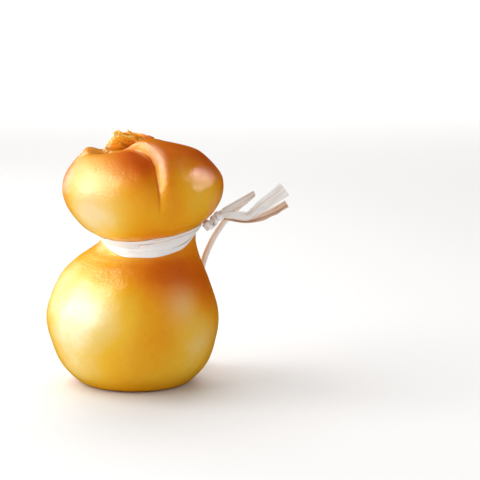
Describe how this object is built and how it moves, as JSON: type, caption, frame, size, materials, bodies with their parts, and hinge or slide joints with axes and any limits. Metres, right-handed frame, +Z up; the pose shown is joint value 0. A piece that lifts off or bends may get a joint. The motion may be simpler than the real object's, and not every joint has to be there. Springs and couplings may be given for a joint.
{
  "type": "smoked scamorza cheese",
  "caption": "Smoked scamorza: a gourd-shaped stretched-curd cheese with a folded head and a torn stub, tied round the neck with a raffia band whose ends hang free.",
  "frame": {"origin": "middle of the flat spot that the cheese rests on", "axes": "+X points to the side where the raffia is knotted, +Y to the back, +Z up through the head"},
  "size_m": [0.1088, 0.0854, 0.1148],
  "materials": {
    "smoked_rind": "satin, thin smoked skin, amber to brown",
    "raffia": "dry bleached palm fibre, matt"
  },
  "bodies": {
    "root": {"cheese": "smoked_rind", "raffia_band": "raffia", "raffia_knot": "raffia", "raffia_wide_tail": "raffia", "raffia_narrow_tail": "raffia", "raffia_strand": "raffia"}
  },
  "joints": []
}
